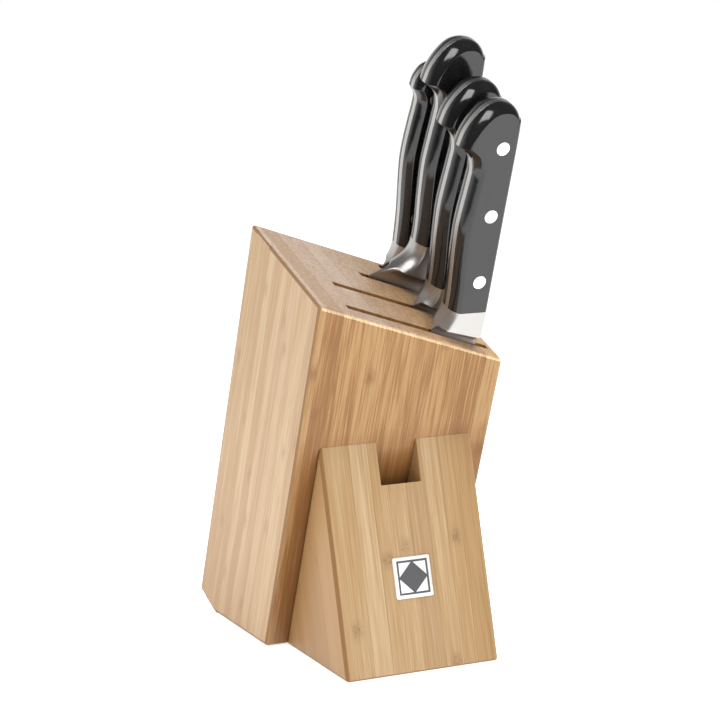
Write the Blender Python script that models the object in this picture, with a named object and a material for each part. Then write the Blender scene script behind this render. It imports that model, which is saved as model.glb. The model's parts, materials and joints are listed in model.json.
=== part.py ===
"""A bamboo knife block that leans on a wedge, with four forged knives that lift out of their slots.

The block is modelled in its own leaning axes, which the empty block_axes carries: x runs across the
block from its left side, y is the depth from its front face, and z runs up along the block. Each
knife hangs on an empty at the back of its handle, level with the foot of its handle scales.
"""

import math

import bmesh
import bpy
import numpy as np
from mathutils import Matrix, Vector

OBJECT_NAME = "knife_block_with_knives"

# Block, in metres
LEAN = math.radians(20)
BLOCK_WIDTH = 0.120
BLOCK_DEPTH = 0.098
FRONT_HEIGHT = 0.222
TOP_DROP = 0.0425
TOP_RISE = 0.0018
SQUARE_END = -0.0263
BLOCK_FOOT_Y = 0.025
JOINT_GAP = 0.0003

# Knife slots, in metres
SLOT_GAP = 0.0045
SLOT_RIGHT = 0.115
SLOT_TIP_ROOM = 0.006

# Supporting wedge and its badge, in metres
WEDGE_WIDTH = 0.095
WEDGE_SHIFT = 0.0006
WEDGE_TOE = 0.0815
WEDGE_TOP = 0.133
POCKET_WIDTH = 0.0245
POCKET_DEPTH = 0.0143
POCKET_FLOOR = 0.014
POCKET_CUT_TOP = 0.160
BADGE_SIDE = 0.023
BADGE_CORNER = 0.001
BADGE_THICKNESS = 0.0009
BADGE_BELOW_TOP = 0.0771

# Handles and rivets, in metres
TANG_HALF = 0.00185
TANG_CORNER = 0.0008
SCALE_INNER = 0.00215
SCALE_RINGS = [(0.0, 0.0), (0.0008, 0.5), (0.0033, 1.0)]
RIVET_RADIUS = 0.0039
RIVET_SIDES = 20
RIVET_HOLE_RADIUS = 0.0042
RIVET_HOLE_SIDES = 24
RIVET_SHARP_ANGLE = math.radians(30)
POINTS_PER_SPAN = 3

# Bolsters and blades, in metres; shares run from the foot of the scales to the heel, then to the tip
BOLSTER_SHARES = (0.0, 0.2, 0.4, 0.58, 0.72, 0.75, 0.79, 0.86, 1.0)
FILLET_START = 0.72
FILLET_POWER = 4
BOLSTER_TAPER = 0.1
BOLSTER_ROUNDING = 0.0033
BOLSTER_EDGE_HALF = 0.0015
BLADE_SHARES = (0.04, 0.2, 0.4, 0.55, 0.7, 0.8, 0.88, 0.94, 0.98, 1.0)
BLADE_HALF_AT_HEEL = 0.0016
BLADE_HALF_AT_TIP = 0.0006
BLADE_BEVEL = 0.003
BLADE_BEVEL_SHARE = 0.2
EDGE_HALF = 0.0002
EDGE_SWEEP = 2.8
TIP_WIDTH = 0.0008
TIP_DROP_SHARE = 0.1

# How each cross-section bulges between its flats, and how thin its back is, as shares
BULGE_ACROSS = 0.3
BULGE_OUT = 0.55
BACK_THICKNESS = 0.12

# Each knife: its slot's depth in the block and left end, its back's place across the block, how far
# its scales end above the block's top left edge, blade length and width, the depth of its bolster at
# the heel, how sharply the bolster flares, the half thickness of its handle and the handle's size.
KNIVES = {
    "carving_knife": {
        "slot_depth": 0.0116, "slot_left": 0.022, "back_x": 0.1070, "rise": -0.0120,
        "blade_length": 0.160, "blade_width": 0.0300, "heel_depth": 0.0142, "flare": 1.3,
        "half_thickness": 0.0100, "handle": "large",
    },
    "utility_knife": {
        "slot_depth": 0.0408, "slot_left": 0.027, "back_x": 0.1108, "rise": -0.0122,
        "blade_length": 0.130, "blade_width": 0.0315, "heel_depth": 0.0148, "flare": 2.2,
        "half_thickness": 0.0100, "handle": "large",
    },
    "chefs_knife": {
        "slot_depth": 0.0687, "slot_left": 0.058, "back_x": 0.1123, "rise": 0.0003,
        "blade_length": 0.200, "blade_width": 0.0488, "heel_depth": 0.0210, "flare": 2.7,
        "half_thickness": 0.0100, "handle": "large",
    },
    "paring_knife": {
        "slot_depth": 0.0910, "slot_left": 0.082, "back_x": 0.1060, "rise": -0.0122,
        "blade_length": 0.100, "blade_width": 0.0218, "heel_depth": 0.0150, "flare": 2.2,
        "half_thickness": 0.0085, "handle": "small",
    },
}

# Handle outlines in millimetres: across from the back, then up from the foot of the scales.
# Each runs in smooth stretches: the belly up to the hook's tip, then round the butt and down the back.
HANDLES = {
    "large": {
        "belly": [(-23.2, 0), (-23.6, 12), (-25.2, 30), (-26.2, 50), (-24.6, 74), (-24.3, 84),
                  (-27.0, 91.4), (-35.0, 97.6)],
        "butt": [(-35.0, 97.6), (-33.0, 106), (-28.7, 114.1), (-22.6, 120.6), (-15.5, 123),
                 (-8.0, 121.6), (-3.0, 116), (-1.4, 108), (-0.8, 60), (0, 0)],
        "rivets": [(-12.5, 99), (-11.8, 59), (-11.0, 19)],
    },
    "small": {
        "belly": [(-16.3, 0), (-17.6, 19), (-20.7, 46), (-21.3, 60), (-20.3, 76), (-19.4, 86),
                  (-19.6, 91.8), (-23.0, 97.6)],
        "butt": [(-23.0, 97.6), (-21.9, 103.2), (-18.0, 109.4), (-12.0, 112), (-6.0, 110.6),
                 (-2.4, 106), (-1.2, 99), (-0.7, 55), (0, 0)],
        "rivets": [(-10.6, 93), (-10.6, 56), (-9.4, 19)],
    },
}


def collection(name, hidden=False):
    """A new collection in the scene; the cutters' one is left out of renders."""
    made = bpy.data.collections.new(name)
    bpy.context.scene.collection.children.link(made)
    made.hide_render = hidden
    return made


def material(name, colour, roughness, metallic):
    """A Principled material of one colour, made once for each name."""
    found = bpy.data.materials.get(name)
    if found:
        return found
    made = bpy.data.materials.new(name)
    made.use_nodes = True
    shader = made.node_tree.nodes["Principled BSDF"]
    shader.inputs["Base Color"].default_value = (*colour, 1.0)
    shader.inputs["Roughness"].default_value = roughness
    shader.inputs["Metallic"].default_value = metallic
    return made


def bamboo(name):
    """Plain bamboo for a board, a strip or the wedge."""
    return material(name, (0.62, 0.40, 0.20), 0.45, 0.0)


def steel(name):
    """Plain steel for a blade, a rivet or the badge."""
    return material(name, (0.56, 0.54, 0.52), 0.28, 1.0)


def black_plastic(name):
    """Plain black plastic for a handle scale."""
    return material(name, (0.012, 0.012, 0.014), 0.18, 0.0)


def add_object(name, mesh, parent, parts, finish, place=(0, 0, 0)):
    """Turns a bmesh into an object under its parent, with its own material."""
    data = bpy.data.meshes.new(name)
    mesh.to_mesh(data)
    mesh.free()
    made = bpy.data.objects.new(name, data)
    made.parent = parent
    made.location = place
    if finish:
        made.data.materials.append(finish(name + "_finish"))
    parts.objects.link(made)
    return made


def empty(name, parts, parent=None, place=(0, 0, 0), turn=(0, 0, 0)):
    """An empty that carries the pieces parented to it."""
    made = bpy.data.objects.new(name, None)
    made.parent = parent
    made.location = place
    made.rotation_euler = turn
    made.empty_display_size = 0.02
    parts.objects.link(made)
    return made


def box(low, high):
    """A bmesh box between two corners."""
    mesh = bmesh.new()
    bmesh.ops.create_cube(mesh, size=1.0)
    low = Vector(low)
    high = Vector(high)
    bmesh.ops.scale(mesh, vec=high - low, verts=mesh.verts)
    bmesh.ops.translate(mesh, vec=(low + high) / 2, verts=mesh.verts)
    return mesh


def cut_off(mesh, point, outward):
    """Cuts away what lies beyond the plane, on the side that outward points to, and closes the cut."""
    everything = mesh.verts[:] + mesh.edges[:] + mesh.faces[:]
    cut = bmesh.ops.bisect_plane(
        mesh, geom=everything, plane_co=point, plane_no=outward, clear_outer=True)
    rim = [item for item in cut["geom_cut"] if isinstance(item, bmesh.types.BMEdge)]
    bmesh.ops.holes_fill(mesh, edges=rim)
    bmesh.ops.recalc_face_normals(mesh, faces=mesh.faces)


def block_top(x, depth):
    """How far up the block its sloping top lies."""
    return FRONT_HEIGHT - TOP_DROP * x / BLOCK_WIDTH + TOP_RISE * depth / BLOCK_DEPTH


def block_piece(name, across, depths, axes, parts, height=None):
    """A board or strip between two planes of the block, cut at the table and at the sloping top."""
    top = height if height else FRONT_HEIGHT + TOP_DROP
    mesh = box((across[0], depths[0], SQUARE_END), (across[1], depths[1], top))
    table = Vector((0, -math.sin(LEAN), -math.cos(LEAN)))
    cut_off(mesh, Vector((0, 0, 0)), table)
    if height is None:
        slope = Vector((TOP_DROP / BLOCK_WIDTH, -TOP_RISE / BLOCK_DEPTH, 1.0))
        cut_off(mesh, Vector((0, 0, FRONT_HEIGHT)), slope)
    return add_object(name, mesh, axes, parts, bamboo)


def build_boards(axes, parts):
    """The boards between the slots, from the front face to the back face."""
    names = ["front_board", "second_board", "third_board", "fourth_board", "back_board"]
    slots = sorted(knife["slot_depth"] for knife in KNIVES.values())
    fronts = [0.0] + [slot + SLOT_GAP / 2 for slot in slots]
    backs = [slot - SLOT_GAP / 2 for slot in slots] + [BLOCK_DEPTH]
    for name, front, back in zip(names, fronts, backs):
        block_piece(name, (0, BLOCK_WIDTH), (front, back), axes, parts)


def build_slot_strips(knife_name, knife, axes, parts):
    """The three strips that close one slot at its sides and below the blade's tip."""
    half = SLOT_GAP / 2 - JOINT_GAP
    depths = (knife["slot_depth"] - half, knife["slot_depth"] + half)
    left = knife["slot_left"]
    slot = knife_name.replace("_knife", "_slot")
    heel = block_top(knife["back_x"] - knife["blade_width"], knife["slot_depth"])
    floor = heel - knife["blade_length"] - SLOT_TIP_ROOM
    block_piece(slot + "_left_strip", (0, left), depths, axes, parts)
    block_piece(slot + "_right_strip", (SLOT_RIGHT, BLOCK_WIDTH), depths, axes, parts)
    between = (left + JOINT_GAP, SLOT_RIGHT - JOINT_GAP)
    block_piece(slot + "_floor_strip", between, depths, axes, parts, height=floor)


def extruded_outline(name, outline, half_width):
    """A closed outline in the XY plane, filled and extruded to both sides, as a welded mesh object."""
    curve = bpy.data.curves.new(name, "CURVE")
    curve.dimensions = "2D"
    curve.fill_mode = "BOTH"
    curve.extrude = half_width
    spline = curve.splines.new("POLY")
    spline.points.add(len(outline) - 1)
    for point, (x, y) in zip(spline.points, outline):
        point.co = (x, y, 0, 1)
    spline.use_cyclic_u = True
    holder = bpy.data.objects.new(name + "_outline", curve)
    bpy.context.scene.collection.objects.link(holder)
    graph = bpy.context.evaluated_depsgraph_get()
    mesh = bmesh.new()
    mesh.from_mesh(bpy.data.meshes.new_from_object(holder.evaluated_get(graph)))
    bmesh.ops.remove_doubles(mesh, verts=mesh.verts, dist=1e-6)
    bmesh.ops.recalc_face_normals(mesh, faces=mesh.faces)
    bpy.data.objects.remove(holder)
    return mesh


def subtract(target, cutter, hidden):
    """Cuts the target with an object, which stays in the cutters' collection."""
    for user in cutter.users_collection:
        user.objects.unlink(cutter)
    hidden.objects.link(cutter)
    cutter.hide_render = True
    cutter.display_type = "WIRE"
    modifier = target.modifiers.new(cutter.name, "BOOLEAN")
    modifier.operation = "DIFFERENCE"
    modifier.solver = "EXACT"
    modifier.object = cutter


def build_wedge(axes, parts, cutters):
    """The wedge that props the block, with the open pocket for shears along its back face."""
    along = Vector((-math.sin(LEAN), math.cos(LEAN)))
    gap = Vector((-JOINT_GAP / math.cos(LEAN), 0))
    toe = Vector((-WEDGE_TOE, 0))
    outline = [toe, gap, along * WEDGE_TOP + gap]
    shift = Vector((BLOCK_FOOT_Y, 0))
    mesh = extruded_outline("support_wedge", [point + shift for point in outline], WEDGE_WIDTH / 2)
    wedge = add_object("support_wedge", mesh, None, parts, bamboo)
    wedge.rotation_euler = (math.radians(90), 0, math.radians(90))
    wedge.location = (WEDGE_SHIFT, 0, 0)

    middle = BLOCK_WIDTH / 2 + WEDGE_SHIFT
    low = (middle - POCKET_WIDTH / 2, -POCKET_DEPTH, POCKET_FLOOR)
    high = (middle + POCKET_WIDTH / 2, POCKET_DEPTH, POCKET_CUT_TOP)
    pocket = add_object("shears_pocket_cutter", box(low, high), axes, cutters, None)
    subtract(wedge, pocket, cutters)


def build_badge(parts):
    """The plain square plate on the wedge's slope."""
    apex = Vector((0, BLOCK_FOOT_Y - WEDGE_TOP * math.sin(LEAN), WEDGE_TOP * math.cos(LEAN)))
    toe = Vector((0, BLOCK_FOOT_Y - WEDGE_TOE, 0))
    down = (toe - apex).normalized()
    outward = Vector((0, down.z, -down.y))
    lift = BADGE_THICKNESS / 2 + JOINT_GAP
    place = apex + down * BADGE_BELOW_TOP + outward * lift + Vector((WEDGE_SHIFT, 0, 0))
    half = BADGE_SIDE / 2
    mesh = box((-half, -half, -BADGE_THICKNESS / 2), (half, half, BADGE_THICKNESS / 2))
    upright = [edge for edge in mesh.edges if edge.verts[0].co.xy == edge.verts[1].co.xy]
    bmesh.ops.bevel(mesh, geom=upright, offset=BADGE_CORNER, segments=2, affect="EDGES", profile=0.5)
    badge = add_object("badge_plate", mesh, None, parts, steel, place)
    badge.rotation_euler = outward.to_track_quat("Z", "Y").to_euler()


def smooth_run(points):
    """A Catmull-Rom curve through the points, which keeps its two ends, in metres."""
    points = np.array(points, float) / 1000
    first = 2 * points[0] - points[1]
    last = 2 * points[-1] - points[-2]
    guide = np.vstack([first, points, last])
    run = [points[0]]
    for before, start, end, after in zip(guide, guide[1:], guide[2:], guide[3:]):
        for step in range(1, POINTS_PER_SPAN + 1):
            t = step / POINTS_PER_SPAN
            run.append(0.5 * (2 * start + (end - before) * t
                              + (2 * before - 5 * start + 4 * end - after) * t ** 2
                              + (3 * start - before - 3 * end + after) * t ** 3))
    return np.array(run)


def handle_outline(size):
    """The handle's closed outline, from the foot of its belly round the butt to the foot of its back."""
    belly = smooth_run(HANDLES[size]["belly"])
    butt = smooth_run(HANDLES[size]["butt"])
    return np.vstack([belly, butt[1:]])


def inset(outline, distance):
    """The outline moved inwards with mitred corners; its two foot points slide along the foot."""
    after = np.roll(outline, -1, axis=0) - outline
    after /= np.linalg.norm(after, axis=1, keepdims=True)
    normal = np.column_stack([after[:, 1], -after[:, 0]])
    normal[-1] = normal[-2]
    before = np.roll(normal, 1, axis=0)
    before[0] = normal[0]
    mitre = (normal + before) / (1 + np.sum(normal * before, axis=1, keepdims=True))
    moved = outline + mitre * distance
    for foot in (0, -1):
        moved[foot, 0] = outline[foot, 0] + distance * np.sign(normal[foot, 0])
        moved[foot, 1] = outline[foot, 1]
    return moved


def loft(rings):
    """A closed bmesh through rings of equally many points, with a flat cap at each end."""
    mesh = bmesh.new()
    rows = [[mesh.verts.new(point) for point in ring] for ring in rings]
    count = len(rows[0])
    for low, high in zip(rows, rows[1:]):
        for i in range(count):
            j = (i + 1) % count
            mesh.faces.new((low[i], low[j], high[j], high[i]))
    mesh.faces.new(rows[0][::-1])
    mesh.faces.new(rows[-1])
    bmesh.ops.recalc_face_normals(mesh, faces=mesh.faces)
    bmesh.ops.triangulate(mesh, faces=mesh.faces)
    return mesh


def section(edge, back, half, edge_half, edge_inset, back_inset, thin):
    """One cross-section ring; edge and back are (across, up) points and the rest are in metres.

    half is the half thickness at the flat's back end, thin at its edge end and edge_half at the very
    edge; one more point beyond each end of the flat keeps the side bulging.
    """
    width = back[0] - edge[0]
    slope = (back[1] - edge[1]) / width
    side = [
        (0.0, edge_half),
        (edge_inset * BULGE_ACROSS, edge_half + (thin - edge_half) * BULGE_OUT),
        (edge_inset, thin),
        (width - back_inset, half),
        (width - back_inset * BULGE_ACROSS, edge_half + (half - edge_half) * BULGE_OUT),
        (width, max(edge_half, half * BACK_THICKNESS)),
    ]
    front = [(edge[0] + across, -depth, edge[1] + across * slope) for across, depth in side]
    rear = [(x, -depth, up) for x, depth, up in reversed(front)]
    return front + rear


def tang_rings(size):
    """Sections of the full tang, from the butt down to the foot of the scales."""
    outline = handle_outline(size)
    top = int(np.argmax(outline[:, 1]))
    belly = outline[:top][::-1]
    back = outline[top + 1:]
    rings = []
    for across, up in belly:
        spine = np.interp(up, back[::-1, 1], back[::-1, 0])
        rings.append(section((across, up), (spine, up), TANG_HALF, BOLSTER_EDGE_HALF,
                             TANG_CORNER, TANG_CORNER, TANG_HALF))
    return rings


def bolster_rings(knife, foot_width):
    """Sections of the bolster, which flares to the heel and thins out just above the block."""
    width = knife["blade_width"]
    slope = TOP_DROP / BLOCK_WIDTH
    heel = knife["heel_depth"]
    full = knife["half_thickness"]
    step = JOINT_GAP * 2
    rings = []
    for share in BOLSTER_SHARES:
        across = foot_width + (width - foot_width) * share ** knife["flare"]
        at_edge = -step - (heel - step) * share
        at_back = -step - (heel + slope * width - step) * share
        fillet = max(0.0, (share - FILLET_START) / (1 - FILLET_START))
        taper = full * (1 - BOLSTER_TAPER * share) - BLADE_HALF_AT_HEEL
        half = BLADE_HALF_AT_HEEL + taper * (1 - fillet) ** FILLET_POWER
        thin = half - (BLADE_HALF_AT_HEEL - EDGE_HALF * 2) * fillet
        edge_half = BOLSTER_EDGE_HALF - (BOLSTER_EDGE_HALF - EDGE_HALF) * fillet
        rings.append(section((-across, at_edge), (0, at_back), half, edge_half,
                             BOLSTER_ROUNDING, BOLSTER_ROUNDING, thin))
    return rings


def blade_rings(knife):
    """Sections of the blade, from just below the heel to the tip."""
    width = knife["blade_width"]
    length = knife["blade_length"]
    slope = TOP_DROP / BLOCK_WIDTH
    heel = knife["heel_depth"]
    rings = []
    tip_drop = TIP_DROP_SHARE * width
    for share in BLADE_SHARES:
        drop = tip_drop * share ** 3
        across = width - (width - tip_drop - TIP_WIDTH) * share ** EDGE_SWEEP
        level = -heel - length * share
        tilt = slope * width * (1 - share) ** 2
        half = BLADE_HALF_AT_HEEL + (BLADE_HALF_AT_TIP - BLADE_HALF_AT_HEEL) * share
        bevel = min(BLADE_BEVEL, BLADE_BEVEL_SHARE * (across - drop))
        rings.append(section((-across, level), (-drop, level - tilt), half, EDGE_HALF,
                             bevel, bevel, EDGE_HALF * 2))
    return rings


def rivet_holes(knife_name, knife, holder, cutters):
    """The cutters for a knife's three rivet holes."""
    made = []
    for number, (across, up) in enumerate(HANDLES[knife["handle"]]["rivets"]):
        name = f"{knife_name}_rivet_hole_{number}"
        mesh = rivet(RIVET_HOLE_RADIUS, 3 * knife["half_thickness"], RIVET_HOLE_SIDES)
        made.append(add_object(name, mesh, holder, cutters, None, (across / 1000, 0, up / 1000)))
    return made


def rivet(radius, length, sides):
    """A cylinder along the knife's thickness."""
    mesh = bmesh.new()
    bmesh.ops.create_cone(
        mesh, cap_ends=True, segments=sides, radius1=radius, radius2=radius, depth=length)
    turn = Matrix.Rotation(math.radians(90), 3, "X")
    bmesh.ops.rotate(mesh, cent=(0, 0, 0), matrix=turn, verts=mesh.verts)
    return mesh


def build_scale(name, knife, facing, holder, parts):
    """One black handle scale, flat outside and rounded towards the tang; facing is -1 at the front."""
    outline = handle_outline(knife["handle"])
    rings = []
    for distance, share in SCALE_RINGS:
        depth = SCALE_INNER + (knife["half_thickness"] - SCALE_INNER) * share
        moved = inset(outline, distance)
        rings.append([(x, facing * depth, z) for x, z in moved])
    return add_object(name, loft(rings), holder, parts, black_plastic)


def build_knife(name, knife, axes, parts, cutters):
    """A forged knife: blade, bolster and tang in one piece, two scales and three rivets."""
    place = (knife["back_x"], knife["slot_depth"], FRONT_HEIGHT + knife["rise"])
    holder = empty(name + "_draw_axis", parts, axes, place)
    size = knife["handle"]
    foot_width = -HANDLES[size]["belly"][0][0] / 1000
    rings = tang_rings(size)
    rings[-1] = [(x, y, -JOINT_GAP) for x, y, z in rings[-1]]
    rings += bolster_rings(knife, foot_width) + blade_rings(knife)
    blade = add_object(name + "_blade", loft(rings), holder, parts, steel)
    scales = [
        build_scale(name + "_front_scale", knife, -1, holder, parts),
        build_scale(name + "_back_scale", knife, 1, holder, parts),
    ]
    for hole in rivet_holes(name, knife, holder, cutters):
        for piece in [blade] + scales:
            subtract(piece, hole, cutters)
    for label, (across, up) in zip(("top", "middle", "bottom"), HANDLES[size]["rivets"]):
        mesh = rivet(RIVET_RADIUS, 2 * knife["half_thickness"], RIVET_SIDES)
        spot = (across / 1000, 0, up / 1000)
        pin = add_object(f"{name}_{label}_rivet", mesh, holder, parts, steel, spot)
        pin.data.shade_smooth()
        pin.data.set_sharp_from_angle(angle=RIVET_SHARP_ANGLE)


def build():
    """Clears the scene and builds the whole object."""
    for old in list(bpy.data.objects):
        bpy.data.objects.remove(old)
    parts = collection(OBJECT_NAME)
    cutters = collection("cutters", hidden=True)
    place = (-BLOCK_WIDTH / 2, BLOCK_FOOT_Y, 0)
    axes = empty("block_axes", parts, place=place, turn=(LEAN, 0, 0))
    build_boards(axes, parts)
    for name, knife in KNIVES.items():
        build_slot_strips(name, knife, axes, parts)
        build_knife(name, knife, axes, parts, cutters)
    build_wedge(axes, parts, cutters)
    build_badge(parts)


build()
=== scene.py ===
"""Finished looks for a leaning bamboo knife block with four forged knives.

The block's own axes lean forward by the angle at which the knives draw out: x runs across the block
from its left side, depth runs back from its front face, and rise runs up along it. Shapes are worked
out in those axes and then placed in the frame.
"""

import json
import math

import bmesh
import bpy
import numpy as np
from mathutils import Euler, Matrix, Vector


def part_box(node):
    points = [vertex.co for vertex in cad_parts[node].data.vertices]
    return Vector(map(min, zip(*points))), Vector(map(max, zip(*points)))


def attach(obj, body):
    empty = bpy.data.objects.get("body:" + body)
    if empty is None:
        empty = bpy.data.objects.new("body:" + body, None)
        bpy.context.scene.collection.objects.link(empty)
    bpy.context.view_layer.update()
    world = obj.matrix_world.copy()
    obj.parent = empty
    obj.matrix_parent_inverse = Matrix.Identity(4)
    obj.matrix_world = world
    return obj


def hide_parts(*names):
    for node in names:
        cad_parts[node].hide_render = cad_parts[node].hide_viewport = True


bl_info = {
    "name": "Knife block with knives",
    "version": (1, 0, 0),
    "blender": (4, 5, 0),
    "location": "3D View > Sidebar > Knife Block",
    "description": "Builds the wood, steel, handles and stage of a leaning knife block",
    "category": "Object",
}

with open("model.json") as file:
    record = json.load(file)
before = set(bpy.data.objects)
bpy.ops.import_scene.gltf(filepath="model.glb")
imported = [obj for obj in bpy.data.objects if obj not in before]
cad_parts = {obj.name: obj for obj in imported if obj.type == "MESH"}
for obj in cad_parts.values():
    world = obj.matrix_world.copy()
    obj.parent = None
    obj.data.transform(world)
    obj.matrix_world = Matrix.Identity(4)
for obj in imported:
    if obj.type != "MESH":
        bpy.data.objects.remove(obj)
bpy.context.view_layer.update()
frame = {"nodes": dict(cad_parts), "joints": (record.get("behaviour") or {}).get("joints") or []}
DRAW = frame["joints"][0]["axis"]
LEAN = math.atan2(-DRAW[1], DRAW[2])
BLOCK_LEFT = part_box("front_board")[0].x
BLOCK_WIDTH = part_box("front_board")[1].x - BLOCK_LEFT

# Places in the block's axes and sizes, in metres; flare is the power by which the bolster widens
KNIFE_SIZES = ("slot_depth", "slot_left", "back_x", "rise", "blade_length", "blade_width",
               "heel_depth", "flare", "half_thickness", "handle")
KNIVES = {name: dict(zip(KNIFE_SIZES, sizes)) for name, sizes in {
    "carving_knife": (0.0116, 0.022, 0.1070, -0.0120, 0.160, 0.0300, 0.0142, 1.3, 0.0100, "large"),
    "utility_knife": (0.0408, 0.027, 0.1108, -0.0122, 0.130, 0.0315, 0.0148, 2.2, 0.0100, "large"),
    "chefs_knife": (0.0687, 0.058, 0.1123, 0.0003, 0.200, 0.0488, 0.0210, 2.7, 0.0100, "large"),
    "paring_knife": (0.0910, 0.082, 0.1060, -0.0122, 0.100, 0.0218, 0.0150, 2.2, 0.0085, "small"),
}.items()}

NEAR = 1e-5  # what counts as lying on a plane, in metres

# Forged parts, in metres where they are lengths
TANG_FOOT = 0.0001  # where the tang's sections end above the bolster's first
TANG_CORNER = 0.0003  # the small bevel along the tang's rims
BUTT_HALF = 0.0012  # half the flat left at the very top of the butt
FILLET_START, FILLET_POWER = 0.72, 4  # share of the bolster at which its fillet starts, and its curve
BOLSTER_TAPER = 0.1  # how much the bolster thins towards the heel
BLADE_CREASE = 0.0018  # rim to crease along the blade
FIRST_SHARE = 0.006  # share of the blade's length at its first section
TIP_DROP, TIP_WIDTH, BELLY_POWER = 0.10, 0.0006, 2.8  # the spine's fall, the tip's width, the belly
SEAM = 0.00003  # gap between a scale and the tang
# Steps of a rivet's head: a share of its radius, and a height above the handle's side
RIVET_HEAD = [(0.45, 0.00012), (0.75, 0.00009), (0.92, 0.00004), (0.98, -0.00002), (1.0, -0.0001)]

# Handle outlines in millimetres: across from the back, then up from the foot of the scales.
HANDLES = {
    "large": {
        "belly": [(-23.2, 0), (-23.6, 12), (-25.2, 30), (-26.2, 50), (-24.6, 74), (-24.3, 84),
                  (-27.0, 91.4), (-35.0, 97.6)],
        "butt": [(-35.0, 97.6), (-33.0, 106), (-28.7, 114.1), (-22.6, 120.6), (-15.5, 123),
                 (-8.0, 121.6), (-3.0, 116), (-1.4, 108), (-0.8, 60), (0, 0)],
        "rivets": [(-12.5, 99), (-11.8, 59), (-11.0, 19)],
    },
    "small": {
        "belly": [(-16.3, 0), (-17.6, 19), (-20.7, 46), (-21.3, 60), (-20.3, 76), (-19.4, 86),
                  (-19.6, 91.8), (-23.0, 97.6)],
        "butt": [(-23.0, 97.6), (-21.9, 103.2), (-18.0, 109.4), (-12.0, 112), (-6.0, 110.6),
                 (-2.4, 106), (-1.2, 99), (-0.7, 55), (0, 0)],
        "rivets": [(-10.6, 93), (-10.6, 56), (-9.4, 19)],
    },
}


# Sizes and colours that a user would change


def length(name, default, description):
    """A length property in metres."""
    return bpy.props.FloatProperty(
        name=name, description=description, default=default, min=0.0, precision=5,
        unit="LENGTH", subtype="DISTANCE")


def colour(name, default, description):
    """A colour property, in scene-linear values."""
    return bpy.props.FloatVectorProperty(
        name=name, description=description, default=default, size=3, min=0.0, max=1.0,
        subtype="COLOR")


class BlockSizes(bpy.types.PropertyGroup):
    """Driving sizes of the bamboo block."""

    depth: length("Depth", 0.098, "Front face to back face")
    front_height: length("Front height", 0.222, "Foot to top along the front left edge")
    top_drop: length("Top drop", 0.0425, "How far the top slopes down from left to right")
    top_rise: length("Top rise", 0.0018, "How far the top rises from front to back")
    square_end: length("Square end", 0.0263, "How far the sawn back end lies below the foot")
    foot_y: length("Foot", 0.025, "Place of the front foot edge behind the origin")
    slot_gap: length("Slot gap", 0.0045, "Thickness of the gap that holds a blade")
    slot_right: length("Slot right end", 0.115, "Right end of every slot from the left side")
    edge_round: length("Edge rounding", 0.0022, "Radius sanded on the outer edges")


class WedgeSizes(bpy.types.PropertyGroup):
    """Driving sizes of the supporting wedge and its badge."""

    width: length("Width", 0.095, "Side to side")
    shift: length("Shift", 0.0006, "How far the wedge sits right of the middle")
    toe: length("Toe", 0.0815, "Foot of the block to the toe")
    top: length("Top", 0.133, "Height of the top edge along the block")
    pocket_width: length("Pocket width", 0.0245, "Width of the shears pocket")
    pocket_depth: length("Pocket depth", 0.0143, "Depth of the shears pocket off the block")
    pocket_floor: length("Pocket floor", 0.014, "Height of the pocket's floor")
    edge_round: length("Edge rounding", 0.0018, "Radius sanded on the outer edges")
    pocket_round: length("Pocket edge", 0.0006, "Radius on the pocket's edges")
    badge_side: length("Badge side", 0.023, "Side of the square badge")
    badge_below: length("Badge place", 0.0771, "Top edge to the badge's middle, down the slope")


class KnifeSizes(bpy.types.PropertyGroup):
    """Sizes that all four knives share."""

    tang_half: length("Half tang", 0.00185, "Half the tang's thickness")
    crease: length("Crease inset", 0.0033, "Outline to the crease of the flat face")
    edge_half: length("Edge", 0.00012, "Half the thickness of the ground edge")
    heel_half: length("Blade at heel", 0.0015, "Half the blade's thickness at the heel")
    tip_half: length("Blade at tip", 0.0006, "Half the blade's thickness at the tip")
    rivet_radius: length("Rivet radius", 0.0040, "Radius of a rivet's head")


class Finishes(bpy.types.PropertyGroup):
    """Colours of the wood, steel and handles."""

    bamboo_pale: colour("Pale strip", (0.92, 0.65, 0.305), "Lightest bamboo strips")
    bamboo_gold: colour("Gold strip", (0.63, 0.37, 0.130), "Usual bamboo strips")
    bamboo_brown: colour("Brown strip", (0.290, 0.128, 0.032), "Darkest bamboo strips and fibres")
    side_pale: colour("Pale side", (0.520, 0.380, 0.232), "Lightest strips on the block's sides")
    side_gold: colour("Gold side", (0.405, 0.258, 0.130), "Usual strips on the block's sides")
    end_grain: colour("End grain", (0.395, 0.305, 0.242), "Sawn end of the strips")
    # Painted shade: the end grain turns golden towards the right, where the knives' handles shade the
    # top and keep its pale sheen off
    end_shaded_gold: colour("Golden end grain", (0.530, 0.310, 0.140), "Sawn end towards the right side")
    steel: colour("Steel", (0.47, 0.455, 0.44), "Blades, bolsters and tangs")
    bright_steel: colour("Bright steel", (0.90, 0.90, 0.89), "Rivets and badge")
    black: colour("Black", (0.006, 0.006, 0.007), "Handle scales")
    enamel: colour("Enamel", (0.035, 0.036, 0.04), "Badge frame and diamond")


class StageSettings(bpy.types.PropertyGroup):
    """Camera, lights and floor."""

    camera_place: bpy.props.FloatVectorProperty(
        name="Camera place", description="Where the camera stands",
        default=(-0.55569, -1.11784, 0.38821), size=3, unit="LENGTH", subtype="XYZ")
    camera_tilt: bpy.props.FloatProperty(
        name="Camera tilt", description="Turn about the sideways axis, from straight down",
        default=math.radians(79.96), unit="ROTATION", subtype="ANGLE")
    camera_turn: bpy.props.FloatProperty(
        name="Camera turn", description="Turn about the upright axis",
        default=math.radians(-25.95), unit="ROTATION", subtype="ANGLE")
    lens: bpy.props.FloatProperty(
        name="Lens", description="Focal length in millimetres on a 36 mm sensor",
        default=112.09, min=10.0)
    floor: colour("Floor", (0.92, 0.92, 0.915), "The plain floor")


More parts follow.
